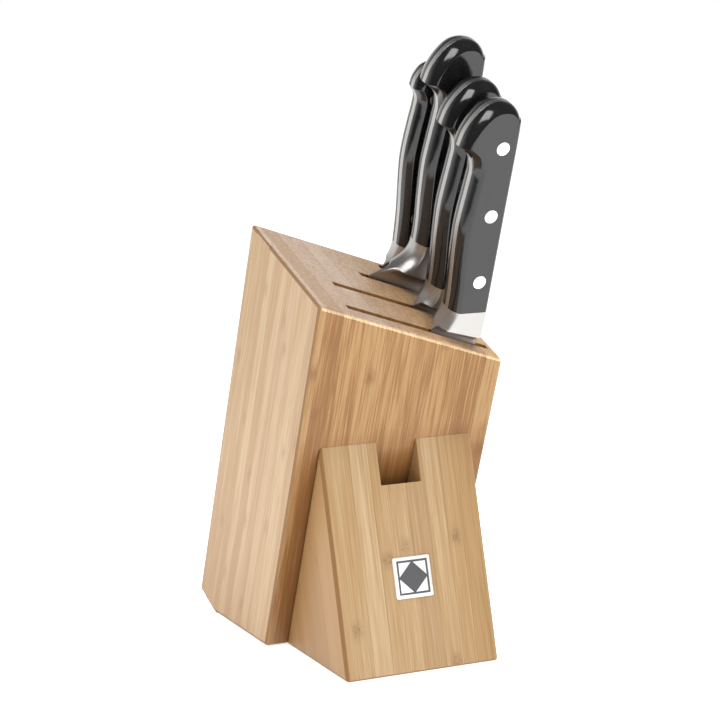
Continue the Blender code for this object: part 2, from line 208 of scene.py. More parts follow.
PROPERTY_GROUPS = {
    "knife_block": BlockSizes,
    "knife_block_wedge": WedgeSizes,
    "knife_block_knives": KnifeSizes,
    "knife_block_finishes": Finishes,
    "knife_block_stage": StageSettings,
}


def settings(group=""):
    """The scene's sizes of the block, or the property group with that ending."""
    return getattr(bpy.context.scene, "knife_block" + group)


# Surfaces


def from_block_axes(points):
    """Block axes (x, depth, rise) to the frame: a turn by the lean, then the foot's place."""
    foot_y = settings().foot_y
    x, depth, rise = np.moveaxis(np.asarray(points, float), -1, 0)
    across = BLOCK_LEFT + x
    back = foot_y + depth * math.cos(LEAN) - rise * math.sin(LEAN)
    up = depth * math.sin(LEAN) + rise * math.cos(LEAN)
    return np.stack([across, back, up], axis=-1)


def grid_faces(rows, columns, ring):
    """Quads of a grid whose columns close round; a ring's rows do too, else a face closes each end."""
    count = rows * columns
    row = np.arange(0, count if ring else count - columns, columns)[:, None]
    after = (row + columns) % count
    here = np.arange(columns)[None, :]
    there = (here + 1) % columns
    quads = np.stack([row + here, row + there, after + there, after + here], -1)
    ends = [] if ring else [list(range(columns))[::-1], list(range(count - columns, count))]
    return quads.reshape(-1, 4).tolist() + ends


def new_object(name, data):
    """An object linked to the scene."""
    item = bpy.data.objects.new(name, data)
    bpy.context.scene.collection.objects.link(item)
    return item


def surface(name, grid, sharp=30.0, ring=False, weld=0.0):
    """A closed object through a grid of points, rows by columns, shaded smooth up to an angle."""
    mesh = bpy.data.meshes.new(name)
    mesh.from_pydata(grid.reshape(-1, 3).tolist(), [], grid_faces(*grid.shape[:2], ring))
    work = bmesh.new()
    work.from_mesh(mesh)
    if weld:
        bmesh.ops.remove_doubles(work, verts=work.verts, dist=weld)
        bmesh.ops.dissolve_limit(work, angle_limit=0.001, verts=work.verts, edges=work.edges)
    bmesh.ops.recalc_face_normals(work, faces=work.faces)
    work.to_mesh(mesh)
    work.free()
    mesh.shade_smooth()
    mesh.set_sharp_from_angle(angle=math.radians(sharp))
    return new_object(name, mesh)


def even_shading(piece):
    """Lets the large flat faces set the shading, so that a rounding beside them blends in."""
    modifier = piece.modifiers.new("even_shading", "WEIGHTED_NORMAL")
    modifier.keep_sharp = True
    modifier.weight = 100


def round_edges(piece, radius, share):
    """Rounds each edge by its share of the radius; share is one number per edge of the mesh."""
    weights = piece.data.attributes.new("bevel_weight_edge", "FLOAT", "EDGE")
    weights.data.foreach_set("value", np.asarray(share, np.float32))
    modifier = piece.modifiers.new("edge_rounding", "BEVEL")
    modifier.limit_method = "WEIGHT"
    modifier.width = radius
    modifier.segments = 5
    modifier.harden_normals = False
    even_shading(piece)


def edge_middles(piece, to_axes):
    """The middle of every edge, in the axes that to_axes gives."""
    mesh = piece.data
    places = np.zeros(len(mesh.vertices) * 3, np.float32)
    mesh.vertices.foreach_get("co", places)
    ends = np.zeros(len(mesh.edges) * 2, np.int32)
    mesh.edges.foreach_get("vertices", ends)
    points = to_axes(places.reshape(-1, 3).astype(float))
    return points[ends.reshape(-1, 2)].mean(axis=1)


def to_block_axes(points):
    """The frame to block axes: the reverse of from_block_axes."""
    foot_y = settings().foot_y
    x, back, up = np.moveaxis(np.asarray(points, float), -1, 0)
    back = back - foot_y
    depth = back * math.cos(LEAN) + up * math.sin(LEAN)
    rise = -back * math.sin(LEAN) + up * math.cos(LEAN)
    return np.stack([x - BLOCK_LEFT, depth, rise], axis=-1)


def block_top(x, depth):
    """Rise of the sloping top: it drops from left to right and gains a little towards the back."""
    sizes = settings()
    across = sizes.front_height - sizes.top_drop * x / BLOCK_WIDTH
    return across + sizes.top_rise * depth / sizes.depth


def block_foot(depth):
    """Rise of the underside: the table's plane at the front, a square sawn end at the back."""
    return np.maximum(-depth * math.tan(LEAN), -settings().square_end)


def wood_slab(name, across, depths):
    """A board or strip: a four-cornered section in x and rise, carried along the block's depth."""
    sizes = settings()
    turn = sizes.square_end / math.tan(LEAN)
    inside = [turn] if depths[0] < turn < depths[1] else []
    depth = np.array([depths[0]] + inside + [depths[1]])[:, None]
    x = np.array([across[0], across[1], across[1], across[0]])[None, :]
    foot = np.broadcast_to(block_foot(depth), (len(depth), 4))
    top = block_top(x, depth)
    rise = np.where(np.array([True, True, False, False]), foot, top)
    grid = np.stack(np.broadcast_arrays(x, depth, rise), axis=-1)
    piece = surface(name, from_block_axes(grid))
    round_edges(piece, sizes.edge_round, outer_edge_share(piece))
    return piece


def outer_edge_share(piece):
    """One where an edge lies on two outer faces of the block, else nothing."""
    sizes = settings()
    x, depth, rise = edge_middles(piece, to_block_axes).T
    offsets = [x, x - BLOCK_WIDTH, depth, depth - sizes.depth, rise - block_top(x, depth),
               rise + depth * math.tan(LEAN), rise + sizes.square_end]
    return (np.sum(np.abs(offsets) < NEAR, axis=0) >= 2).astype(float)


def smooth_run(points, steps):
    """A Catmull-Rom curve through the points that keeps its two ends: for each span, a cubic in t."""
    points = np.asarray(points, float)
    guide = np.vstack([2 * points[0] - points[1], points, 2 * points[-1] - points[-2]])
    before, start, end, after = (guide[i:len(guide) - 3 + i, None, :] for i in range(4))
    t = (np.arange(1, steps + 1) / steps)[None, :, None]
    run = 0.5 * (2 * start + (end - before) * t
                 + (2 * before - 5 * start + 4 * end - after) * t ** 2
                 + (3 * start - before - 3 * end + after) * t ** 3)
    return np.vstack([points[:1], run.reshape(-1, 2)])


def handle_guide(size, steps=3):
    """The handle's outline in metres, foot of belly to foot of back, and the place of its tip in it."""
    belly = smooth_run(np.array(HANDLES[size]["belly"]) / 1000, steps)
    butt = smooth_run(np.array(HANDLES[size]["butt"]) / 1000, steps)
    return np.vstack([belly, butt[1:]]), len(belly) - 1


def inset_outline(outline, distance):
    """The outline moved inwards with mitred corners; its two foot points slide along the foot."""
    after = np.roll(outline, -1, axis=0) - outline
    after /= np.linalg.norm(after, axis=1, keepdims=True)
    normal = np.column_stack([after[:, 1], -after[:, 0]])
    normal[-1] = normal[-2]
    before = np.roll(normal, 1, axis=0)
    before[0] = normal[0]
    mitre = (normal + before) / (1 + np.sum(normal * before, axis=1, keepdims=True))
    moved = outline + mitre * distance
    foot = [0, -1]
    moved[foot, 0] = outline[foot, 0] + distance * np.sign(normal[foot, 0])
    moved[foot, 1] = outline[foot, 1]
    return moved


def side_rounding():
    """How a handle's side turns in to its crease: inset grows with the square of depth, then a bend.

    Gives the inset as a share of the crease's inset and the depth as a share of the half thickness. The
    bend is a quadratic curve in t towards (1, 1), which ends beyond the crease at full depth.
    """
    bend_from, beyond = 0.88, 1.2
    rise = np.linspace(0.0, bend_from, 9)
    t = np.linspace(0.0, 1.0, 6)[1:]
    bend_in = (1 - t) ** 2 * bend_from ** 2 + 2 * t * (1 - t) + t ** 2 * beyond
    bend_out = (1 - t) ** 2 * bend_from + 2 * t * (1 - t) + t ** 2
    return np.concatenate([rise ** 2, bend_in]), np.concatenate([rise, bend_out])


def knife_place(knife):
    """Where a knife's back meets the foot of its scales, in block axes."""
    sizes = settings()
    return np.array([knife["back_x"], knife["slot_depth"], sizes.front_height + knife["rise"]])


def section_grid(edge, back, half, thin, edge_half, inset):
    """Sections of a blade from edge to back and round again.

    edge and back are (across, up) rows, half and thin the half thicknesses at the back's and the
    edge's crease, edge_half that of both rims, and inset the distance from rim to crease.
    """
    inward, outward = side_rounding()
    width = back[:, :1] - edge[:, :1]
    slope = (back[:, 1:] - edge[:, 1:]) / width
    inset = inset[:, None]
    rim = edge_half[:, None]
    near = inset * inward
    near_depth = rim + (thin[:, None] - rim) * outward
    far = width - inset * inward[::-1]
    far_depth = rim + (half[:, None] - rim) * outward[::-1]
    across = np.hstack([near, far])
    depth = np.hstack([near_depth, far_depth])
    up = edge[:, 1:] + across * slope
    front = np.stack([edge[:, :1] + across, -depth, up], axis=-1)
    rear = front[:, ::-1] * np.array([1, -1, 1])
    return np.concatenate([front, rear], axis=1)


def tang_sections(size):
    """Sections of the full tang from the butt down: heights crowd together where the butt is round."""
    sizes = settings("_knives")
    outline, tip = handle_guide(size, 12)
    top = int(np.argmax(outline[:, 1]))
    peak = outline[top, 1]
    tip_up = outline[tip, 1]
    round_part = tip_up + (peak - tip_up) * np.sin(np.linspace(0, 1, 26) * math.pi / 2)[::-1]
    straight_part = np.linspace(tip_up, TANG_FOOT, 60)[1:]
    up = np.concatenate([round_part, straight_part])
    belly = np.interp(up, outline[:top + 1, 1], outline[:top + 1, 0])
    back = np.interp(up, outline[top:, 1][::-1], outline[top:, 0][::-1])
    belly[0] -= BUTT_HALF
    back[0] += BUTT_HALF
    ones = np.ones(len(up))
    edge = np.column_stack([belly, up])
    spine = np.column_stack([back, up])
    half = ones * sizes.tang_half
    return section_grid(edge, spine, half, half, half - TANG_CORNER, ones * TANG_CORNER)


def bolster_sections(knife, foot_width):
    """Sections of the bolster: it flares to the heel, and a fillet thins it out above the block."""
    sizes = settings("_knives")
    width = knife["blade_width"]
    slope = settings().top_drop / BLOCK_WIDTH
    heel = knife["heel_depth"]
    share = np.linspace(0.0, 1.0, 44)
    across = foot_width + (width - foot_width) * share ** knife["flare"]
    edge = np.column_stack([-across, -heel * share])
    back = np.column_stack([0 * share, -(heel + slope * width) * share])
    fillet = np.clip((share - FILLET_START) / (1 - FILLET_START), 0, 1)
    taper = knife["half_thickness"] * (1 - BOLSTER_TAPER * share) - sizes.heel_half
    half = sizes.heel_half + taper * (1 - fillet) ** FILLET_POWER
    thin = half - (sizes.heel_half - 2 * sizes.edge_half) * fillet
    rim = sizes.tang_half + (sizes.edge_half - sizes.tang_half) * fillet
    inset = sizes.crease + (BLADE_CREASE - sizes.crease) * fillet
    return section_grid(edge, back, half, thin, rim, inset)


def blade_sections(knife):
    """Sections of the blade from below the heel to the tip: belly by a power curve, dropping spine."""
    sizes = settings("_knives")
    width = knife["blade_width"]
    slope = settings().top_drop / BLOCK_WIDTH
    share = 1 - (1 - np.linspace(0.0, 1.0, 70)) ** 1.35
    share[0] = FIRST_SHARE
    drop = TIP_DROP * width * share ** 3
    belly = width - (0.9 * width - 0.0008) * share ** BELLY_POWER
    across = np.maximum(drop + TIP_WIDTH, belly)
    level = -knife["heel_depth"] - knife["blade_length"] * share
    tilt = slope * width * (1 - share) ** 2
    edge = np.column_stack([-across, level])
    back = np.column_stack([-drop, level - tilt])
    half = sizes.heel_half + (sizes.tip_half - sizes.heel_half) * share
    rim = sizes.edge_half + 0 * share
    inset = np.minimum(BLADE_CREASE, 0.15 * (across - drop))
    return section_grid(edge, back, half, 2 * rim, rim, inset)


def knife_blade(name, knife):
    """Tang, bolster and blade in one surface, placed in its slot."""
    handle = knife["handle"]
    foot_width = -HANDLES[handle]["belly"][0][0] / 1000
    grid = np.concatenate([
        tang_sections(handle), bolster_sections(knife, foot_width), blade_sections(knife)])
    return surface(name, from_block_axes(grid + knife_place(knife)), sharp=28.0)


def knife_scale(name, knife, facing):
    """One handle scale: its outline shrinks ring by ring as the side rounds to the flat face."""
    sizes = settings("_knives")
    guide, tip = handle_guide(knife["handle"])
    inward, outward = side_rounding()
    inner = sizes.tang_half + SEAM
    rings = []
    for share_in, share_out in zip(inward, outward):
        ring = inset_outline(guide, sizes.crease * share_in)
        fine = np.vstack([smooth_run(ring[:tip + 1], 5), smooth_run(ring[tip:], 5)[1:]])
        depth = np.full(len(fine), facing * (inner + (knife["half_thickness"] - inner) * share_out))
        rings.append(np.column_stack([fine[:, 0], depth, fine[:, 1]]))
    piece = surface(name, from_block_axes(np.array(rings) + knife_place(knife)), sharp=40.0)
    even_shading(piece)
    return piece


def rivet(name, knife, across, up):
    """A turned pin through the handle: the steps of its head carried round, at both its ends."""
    sizes = settings("_knives")
    radius = sizes.rivet_radius
    reach = knife["half_thickness"]
    profile = [(radius * share, reach + lift) for share, lift in RIVET_HEAD]
    profile = np.array(profile + [(r, -y) for r, y in profile[::-1]])
    angle = np.linspace(0, 2 * math.pi, 48, endpoint=False)[None, :]
    r, along = profile[:, :1], profile[:, 1:]
    grid = np.stack(np.broadcast_arrays(
        across / 1000 + r * np.cos(angle), along, up / 1000 + r * np.sin(angle)), axis=-1)
    return surface(name, from_block_axes(grid + knife_place(knife)), sharp=35.0)


# Materials


# Colours inside the bamboo, in scene-linear values
PINK = (0.36, 0.20, 0.115)
KNUCKLE = (0.27, 0.13, 0.055)
KNUCKLE_LINE = (0.10, 0.04, 0.015)
# Painted highlight: pale beige laid on roundings that turn partly upwards
EDGE_PAINTED_HIGHLIGHT = (0.42, 0.335, 0.24)
END_BROWN = (0.255, 0.160, 0.088)
GLUE = (0.12, 0.06, 0.025)
EDGE_BROWN = (0.16, 0.072, 0.022)

# What the wood is multiplied by where shade is painted into it
PLAIN = (1.0, 1.0, 1.0)
# Painted shade on faces turned to the back, against the strong light behind
BACK_FACE_PAINTED_SHADE = (0.66, 0.67, 0.72)
# Painted shade on the sides, darkening towards the foot
LOW_SIDE_PAINTED_SHADE = (0.88, 0.83, 0.75)
# Painted shade in the corners beside, above and behind the wedge and inside the slots
CORNER_PAINTED_SHADE = (0.55, 0.40, 0.26)
# Painted shade that makes the wedge's slope and sides darker copies of the block's bamboo
WEDGE_FACE_PAINTED_SHADE = (0.435, 0.46, 0.60)
WEDGE_SIDE_PAINTED_SHADE = (0.84, 0.75, 0.60)


class Nodes:
    """Short calls that add nodes to a material or world; arguments are values or nodes' outputs."""

    def __init__(self, owner, shader):
        owner.use_nodes = True
        self.owner = owner
        self.tree = owner.node_tree
        self.shader = self.tree.nodes[shader]

    def feed(self, socket, value):
        """Links an output to a socket, or sets the socket's own value."""
        if isinstance(value, bpy.types.NodeSocket):
            self.tree.links.new(value, socket)
        else:
            socket.default_value = value

    def add(self, kind, inputs, **options):
        """A node with its options set and its inputs fed."""
        node = self.tree.nodes.new(kind)
        for key, value in options.items():
            setattr(node, key, value)
        for key, value in inputs.items():
            self.feed(node.inputs[key], value)
        return node

    def set(self, **values):
        """Sets or links the shader's sockets; underscores stand for spaces."""
        for key, value in values.items():
            self.feed(self.shader.inputs[key.replace("_", " ")], value)

    def place(self, kind="Object"):
        """The place in the piece's own axes, or another kind of coordinate."""
        return self.add("ShaderNodeTexCoord", {}).outputs[kind]

    def parts(self, vector):
        """The three parts of a vector."""
        return tuple(self.add("ShaderNodeSeparateXYZ", {"Vector": vector}).outputs)

    def math(self, operation, a, b=0.0, c=0.0, clamp=False):
        """One operation on up to three numbers."""
        node = self.add("ShaderNodeMath", {0: a, 1: b, 2: c}, operation=operation, use_clamp=clamp)
        return node.outputs[0]

    def times(self, a, b):
        """a times b."""
        return self.math("MULTIPLY", a, b)

    def line(self, value, slope, start):
        """The value times a slope, plus a start."""
        return self.math("MULTIPLY_ADD", value, slope, start)

    def most(self, *values):
        """The largest of the values."""
        result = values[0]
        for value in values[1:]:
            result = self.math("MAXIMUM", result, value)
        return result

    def ramp(self, value, low, high, out_low=0.0, out_high=1.0):
        """A smooth step of value from low to high."""
        node = self.add("ShaderNodeMapRange", {
            "Value": value, "From Min": low, "From Max": high, "To Min": out_low, "To Max": out_high,
        }, interpolation_type="SMOOTHSTEP")
        return node.outputs["Result"]

    def blend(self, share, a, b):
        """A number between a and b."""
        node = self.add("ShaderNodeMix", {"Factor": share, "A": a, "B": b}, data_type="FLOAT")
        return node.outputs[0]

    def mix(self, share, a, b, blend="MIX"):
        """A colour between a and b, each an output or three values, or b blended on to a."""
        a, b = (value if isinstance(value, bpy.types.NodeSocket) else (*value, 1.0) for value in (a, b))
        node = self.add("ShaderNodeMix", {"Factor": share, 6: a, 7: b}, data_type="RGBA",
                        blend_type=blend)
        return node.outputs[2]

    def tint(self, share, body, rgb):
        """A colour multiplied by another, as far as the share says."""
        return self.mix(share, body, rgb, "MULTIPLY")

    def noise(self, vector, scale, roughness=0.5, detail=2.0):
        """Noise; three scales stretch the vector first and move it off the noise's own grid."""
        if isinstance(scale, tuple):
            moved = self.add("ShaderNodeVectorMath", {0: vector, 1: scale, 2: (0.37, 0.61, 0.43)},
                             operation="MULTIPLY_ADD")
            vector, scale = moved.outputs[0], 1.0
        inputs = {"Vector": vector, "Scale": scale, "Detail": detail, "Roughness": roughness}
        return self.add("ShaderNodeTexNoise", inputs).outputs["Fac"]

    def bump(self, height, distance, strength=1.0):
        """A normal that follows small heights."""
        inputs = {"Height": height, "Distance": distance, "Strength": strength}
        return self.add("ShaderNodeBump", inputs).outputs["Normal"]


def new_material(name):
    """A new material's nodes, with its Principled shader as the one to set."""
    return Nodes(bpy.data.materials.new(name), "Principled BSDF")


def strip_pattern(nodes, vector, place, width, start, along):
    """Strips of uneven width along one axis: their random tones, glue lines and knuckles.

    A strip's knuckles lie a spacing apart and start at its own random place. Each is bowed by the
    square of the distance from the strip's middle, and wanders a little.
    """
    spacing, bow, glue_half = 0.19, 0.022, 0.00035
    w = nodes.math("ADD", nodes.math("DIVIDE", place, width), start)
    strips = {"W": w, "Scale": 1.0, "Randomness": 0.75}
    cells = nodes.add("ShaderNodeTexVoronoi", strips, voronoi_dimensions="1D")
    edges = nodes.add("ShaderNodeTexVoronoi", strips, voronoi_dimensions="1D",
                      feature="DISTANCE_TO_EDGE")
    tones = nodes.add("ShaderNodeSeparateColor", {"Color": cells.outputs["Color"]})
    glue = nodes.ramp(edges.outputs["Distance"], glue_half / width, 0.0)
    local = nodes.math("SUBTRACT", w, cells.outputs["W"])
    wander = nodes.noise(vector, (420, 420, 260), 0.6)
    step = nodes.math("ADD", nodes.math("DIVIDE", along, spacing), nodes.times(tones.outputs[2], 7.0))
    arc = nodes.line(nodes.times(local, local), bow, nodes.times(wander, bow))
    centred = nodes.math("SUBTRACT", nodes.math("FRACT", nodes.math("ADD", step, arc)), 0.5)
    distance = nodes.times(nodes.math("ABSOLUTE", centred), spacing)
    middle = nodes.ramp(nodes.math("ABSOLUTE", local), 0.40, 0.10)
    broken = nodes.ramp(nodes.noise(vector, (1100, 1100, 620), 0.6), 0.46, 0.60)
    flecks = nodes.times(nodes.ramp(distance, 0.0045, 0.0010), 0.8)
    marks = nodes.times(nodes.most(nodes.ramp(distance, 0.0011, 0.0002), flecks), broken)
    cloud = nodes.times(nodes.ramp(distance, 0.0085, 0.0010), middle)
    return tones.outputs[0], tones.outputs[1], glue, nodes.times(marks, middle), cloud


def turned_away(nodes, part):
    """Strongest where a rounded edge turns halfway towards the negative side of one axis."""
    towards = nodes.most(nodes.times(part, -1.0), 0.0)
    rest = nodes.most(nodes.line(nodes.times(part, part), -1.0, 1.0), 0.0)
    return nodes.times(towards, nodes.math("SQRT", rest))


def board_painted_shade(nodes, x, depth, rise):
    """Where shade is painted into the block's wood: beside, above and behind the wedge, and inside the
    slots.
    """
    wedge = settings("_wedge")
    back = settings().depth
    left = (BLOCK_WIDTH - wedge.width) / 2 + wedge.shift
    half = wedge.pocket_width / 2
    across = nodes.math("ABSOLUTE", nodes.math("SUBTRACT", x, BLOCK_WIDTH / 2 + wedge.shift))
    beside = nodes.times(nodes.ramp(x, left - 0.014, left + 0.001),
                         nodes.ramp(rise, wedge.top + 0.001, wedge.top - 0.012))
    above = nodes.ramp(rise, wedge.top + 0.010, wedge.top, 0.0, 0.45)
    pocket = nodes.times(nodes.ramp(across, half + 0.001, half - 0.001),
                         nodes.ramp(rise, wedge.top + 0.006, wedge.top - 0.030))
    front = nodes.ramp(depth, 0.002, 0.001)
    inner = nodes.times(nodes.ramp(depth, 0.004, 0.006), nodes.ramp(depth, back - 0.001, back - 0.002))
    return nodes.most(nodes.times(nodes.most(beside, above, pocket), front), inner)


def wedge_painted_shade(nodes, _x, depth, _rise):
    """Where shade is painted into the wedge's wood: towards the block, behind its own slope."""
    return nodes.ramp(depth, 0.008, 0.030)


def bamboo(name, lean, foot_y, strips, grain, corners, corner_at_side, face_painted_shade, side_painted_shade):
    """Laminated bamboo: strips, fibres and knuckles along it, dotted end grain on its sawn ends.

    lean is the angle from upright at which its fibres run and foot_y the place they start from; strips
    and grain say how strongly each shows, corners and corner_at_side where and how much shade is
    painted into it, and the tints paint shade by multiplying the colours of faces and sides.
    """
    finishes = settings("_finishes")
    nodes = new_material(name)
    offset = -(Matrix.Rotation(-lean, 3, "X") @ Vector((BLOCK_LEFT, foot_y, 0)))
    vector = nodes.add("ShaderNodeMapping", {
        "Vector": nodes.place(), "Rotation": (-lean, 0, 0), "Location": tuple(offset),
    }).outputs["Vector"]
    x, depth, rise = nodes.parts(vector)

    # Which way the wood faces
    normal = nodes.place("Normal")
    to_right, to_back, to_top = nodes.parts(normal)
    side = nodes.ramp(nodes.math("ABSOLUTE", to_right), 0.6, 0.8)
    behind = nodes.ramp(to_back, 0.3, 0.7)
    upward = nodes.add("ShaderNodeVectorMath", {0: normal, 1: (0.0, -math.sin(lean), math.cos(lean))},
                       operation="DOT_PRODUCT").outputs["Value"]
    sawn = nodes.ramp(nodes.math("ABSOLUTE", upward), 0.6, 0.8)
    # How much of the painted corner shade stays on faces turned to the left
    shade = nodes.ramp(to_right, -0.8, -0.3, corner_at_side, 1.0)

    # Strips, and fibres from noise on axes turned askew to the faces
    face = strip_pattern(nodes, vector, x, 0.0115, 3.4, rise)
    edge = strip_pattern(nodes, vector, depth, 0.0085, 11.7, rise)
    tone, hue, glue, line, cloud = (nodes.blend(side, a, b) for a, b in zip(face, edge))
    askew = nodes.add("ShaderNodeCombineXYZ", {
        "X": nodes.line(depth, 0.37, x), "Y": nodes.line(x, -0.37, depth), "Z": rise}).outputs[0]
    fibres = nodes.noise(askew, (1300, 1300, 34), 0.6)
    coarse = nodes.noise(askew, (640, 640, 17), 0.65)
    streaks = nodes.line(nodes.noise(askew, (300, 300, 10)), strips * 1.4, 0.5 - strips * 1.2)
    lines = nodes.line(nodes.math("ADD", coarse, fibres), grain, -grain)
    tone = nodes.math("ADD", nodes.line(tone, strips, streaks), lines, clamp=True)
    calm = nodes.line(tone, 0.45, 0.33)
    tone = nodes.blend(nodes.most(side, nodes.times(behind, 0.9)), tone, calm)

    # Colours of the long faces, with the shade painted into them
    pale = nodes.mix(side, finishes.bamboo_pale, finishes.side_pale)
    gold = nodes.mix(side, finishes.bamboo_gold, finishes.side_gold)
    low = nodes.mix(nodes.ramp(tone, 0.0, 0.42), finishes.bamboo_brown, gold)
    body = nodes.mix(nodes.ramp(tone, 0.35, 0.95), low, pale)
    body = nodes.mix(nodes.times(nodes.ramp(hue, 0.6, 0.95), 0.16), body, PINK)
    shown = 0.35 + 0.25 * grain
    knuckle = nodes.times(cloud, nodes.ramp(side, 0.0, 1.0, 0.55 * shown, 0.30 * shown))
    body = nodes.mix(knuckle, body, KNUCKLE)
    mark = nodes.times(line, nodes.ramp(side, 0.0, 1.0, 0.75 * shown, 0.16 * shown))
    body = nodes.mix(mark, body, KNUCKLE_LINE)
    # Painted shade: the wedge's faces and sides are darkened copies of the bamboo; the block's stay
    # plain
    body = nodes.tint(1.0, body, nodes.mix(side, face_painted_shade, side_painted_shade))
    # Painted shade on faces turned to the back
    body = nodes.tint(behind, body, BACK_FACE_PAINTED_SHADE)
    # Painted shade: the sides darken towards the foot
    body = nodes.tint(nodes.times(nodes.ramp(rise, 0.09, -0.02), side), body, LOW_SIDE_PAINTED_SHADE)
    # Painted shade in the corners by the wedge and inside the slots
    body = nodes.tint(nodes.times(corners(nodes, x, depth, rise), shade), body, CORNER_PAINTED_SHADE)

    # A painted highlight on upward-turning roundings, then end grain, glue lines and the edges below it
    # Painted highlight: a pale band where a rounding turns partly upwards, as on the front's top edge
    upper_edge_highlight = nodes.times(nodes.ramp(upward, 0.10, 0.45), nodes.ramp(upward, 0.95, 0.70))
    body = nodes.mix(nodes.times(upper_edge_highlight, 0.75), body, EDGE_PAINTED_HIGHLIGHT)
    dots = nodes.noise(vector, (900, 1250, 30), 0.7, 3.0)
    ends = nodes.line(tone, 0.55, nodes.line(dots, 0.6, 0.13))
    # Painted shade: golden end grain towards the right, under the knives' handles
    end_pale = nodes.mix(nodes.ramp(x, 0.03, 0.095), finishes.end_grain, finishes.end_shaded_gold)
    body = nodes.mix(sawn, body, nodes.mix(nodes.ramp(ends, 0.35, 1.1), END_BROWN, end_pale))
    body = nodes.mix(nodes.times(glue, nodes.ramp(side, 0.0, 1.0, 0.42, 0.10)), body, GLUE)
    rounded = nodes.most(turned_away(nodes, to_right), turned_away(nodes, to_top))
    body = nodes.mix(nodes.ramp(rounded, 0.03, 0.22, 0.0, 0.80), body, EDGE_BROWN)

    height = nodes.math("ADD", nodes.times(fibres, 0.7), nodes.times(glue, -0.6))
    nodes.set(Base_Color=body, Roughness=nodes.ramp(fibres, 0.2, 0.8, 0.34, 0.50),
              Normal=nodes.bump(height, 0.00004), Specular_IOR_Level=0.32)
    return nodes.owner


def steel(name, rgb, roughness, stretch, metallic=1.0):
    """Satin steel: fine grind lines vary its shine, and broad clouds keep its tone from being flat."""
    nodes = new_material(name)
    vector = nodes.add("ShaderNodeMapping", {
        "Vector": nodes.place(), "Rotation": (-LEAN, 0, 0)}).outputs["Vector"]
    lines = nodes.noise(vector, stretch, 0.6, 3.0)
    clouds = nodes.ramp(nodes.noise(vector, (70, 70, 40)), 0.3, 0.75)
    nodes.set(Base_Color=nodes.mix(clouds, [0.93 * part for part in rgb], rgb), Metallic=metallic,
              Normal=nodes.bump(lines, 0.0000008, 0.3),
              Roughness=nodes.ramp(lines, 0.25, 0.75, roughness * 0.93, roughness * 1.08))
    return nodes.owner


def black_plastic(name):
    """Polished black handle plastic with a faint haze from handling."""
    black = settings("_finishes").black
    nodes = new_material(name)
    haze = nodes.noise(nodes.place(), (160, 160, 60), detail=3.0)
    grain = nodes.noise(nodes.place(), 2600)
    nodes.set(Base_Color=nodes.mix(haze, black, (0.010, 0.010, 0.010)), IOR=1.55,
              Roughness=nodes.ramp(haze, 0.3, 0.7, 0.10, 0.15), Normal=nodes.bump(grain, 0.000003, 0.4))
    return nodes.owner


def enamel(name):
    """Dark matt filling of the badge's frame and diamond."""
    dark = settings("_finishes").enamel
    nodes = new_material(name)
    speck = nodes.noise(nodes.place(), 3000)
    nodes.set(Base_Color=nodes.mix(speck, dark, (0.09, 0.09, 0.095)),
              Roughness=nodes.ramp(speck, 0.3, 0.7, 0.35, 0.5), Normal=nodes.bump(speck, 0.00001))
    return nodes.owner


def made_once(name, maker, *arguments):
    """The material of that name, made the first time it is asked for."""
    return bpy.data.materials.get(name) or maker(name, *arguments)


def block_bamboo():
    """The block's bamboo, whose fibres run up the block."""
    foot_y = settings().foot_y
    strips, grain = 0.80, 2.3
    return made_once("board_bamboo_finish", bamboo, LEAN, foot_y, strips, grain,
                     board_painted_shade, 0.0, PLAIN, PLAIN)


def wedge_bamboo(tilt, toe_y):
    """The wedge's bamboo, with painted shade that makes it darker on its slope and redder at its sides.
    """
    strips, grain = 0.32, 0.45
    return made_once("wedge_bamboo_finish", bamboo, tilt, toe_y, strips, grain,
                     wedge_painted_shade, 0.25, WEDGE_FACE_PAINTED_SHADE, WEDGE_SIDE_PAINTED_SHADE)


def knife_steel():
    """Satin steel with its grind lines along the blades."""
    rgb = tuple(settings("_finishes").steel)
    return made_once("satin_steel_finish", steel, rgb, 0.40, (260, 1800, 1400))


def bright_steel():
    """The rivets' brighter steel."""
    rgb = tuple(settings("_finishes").bright_steel)
    return made_once("bright_steel_finish", steel, rgb, 0.34, (1500, 1500, 300))


def dress(piece, finish, body, slot, *nodes):
    """Gives a piece its material and body, and hides the CAD nodes that it stands for; slot is not
    used.
    """
    piece.data.materials.append(finish)
    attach(piece, body)
    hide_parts(*nodes)


# Operators


class KNIFEBLOCK_OT_boards(bpy.types.Operator):
    """Builds the block's five boards"""

    bl_idname = "knifeblock.boards"
    bl_label = "Boards"

    def execute(self, context):
        sizes = settings()
        names = ["front_board", "second_board", "third_board", "fourth_board", "back_board"]
        slots = sorted(knife["slot_depth"] for knife in KNIVES.values())
        fronts = [0.0] + [slot + sizes.slot_gap / 2 for slot in slots]
        backs = [slot - sizes.slot_gap / 2 for slot in slots] + [sizes.depth]
        for node, front, back in zip(names, fronts, backs):
            piece = wood_slab("bamboo_" + node, (0, BLOCK_WIDTH), (front, back))
            dress(piece, block_bamboo(), "block", "block_bamboo", node)
        return {"FINISHED"}


class KNIFEBLOCK_OT_strips(bpy.types.Operator):
    """Builds the strips that close the slots at their sides, and finishes the hidden floor strips"""

    bl_idname = "knifeblock.strips"
    bl_label = "Slot strips"

    def execute(self, context):
        sizes = settings()
        half = sizes.slot_gap / 2
        for name, knife in KNIVES.items():
            slot = name.replace("_knife", "_slot")
            depths = (knife["slot_depth"] - half, knife["slot_depth"] + half)
            sides = {"_left_strip": (0, knife["slot_left"]),
                     "_right_strip": (sizes.slot_right, BLOCK_WIDTH)}
            for ending, across in sides.items():
                piece = wood_slab("bamboo_" + slot + ending, across, depths)
                dress(piece, block_bamboo(), "block", "slot_strip_bamboo", slot + ending)
            floor = frame["nodes"][slot + "_floor_strip"]
            floor.data.materials.clear()
            floor.data.materials.append(block_bamboo())
        return {"FINISHED"}


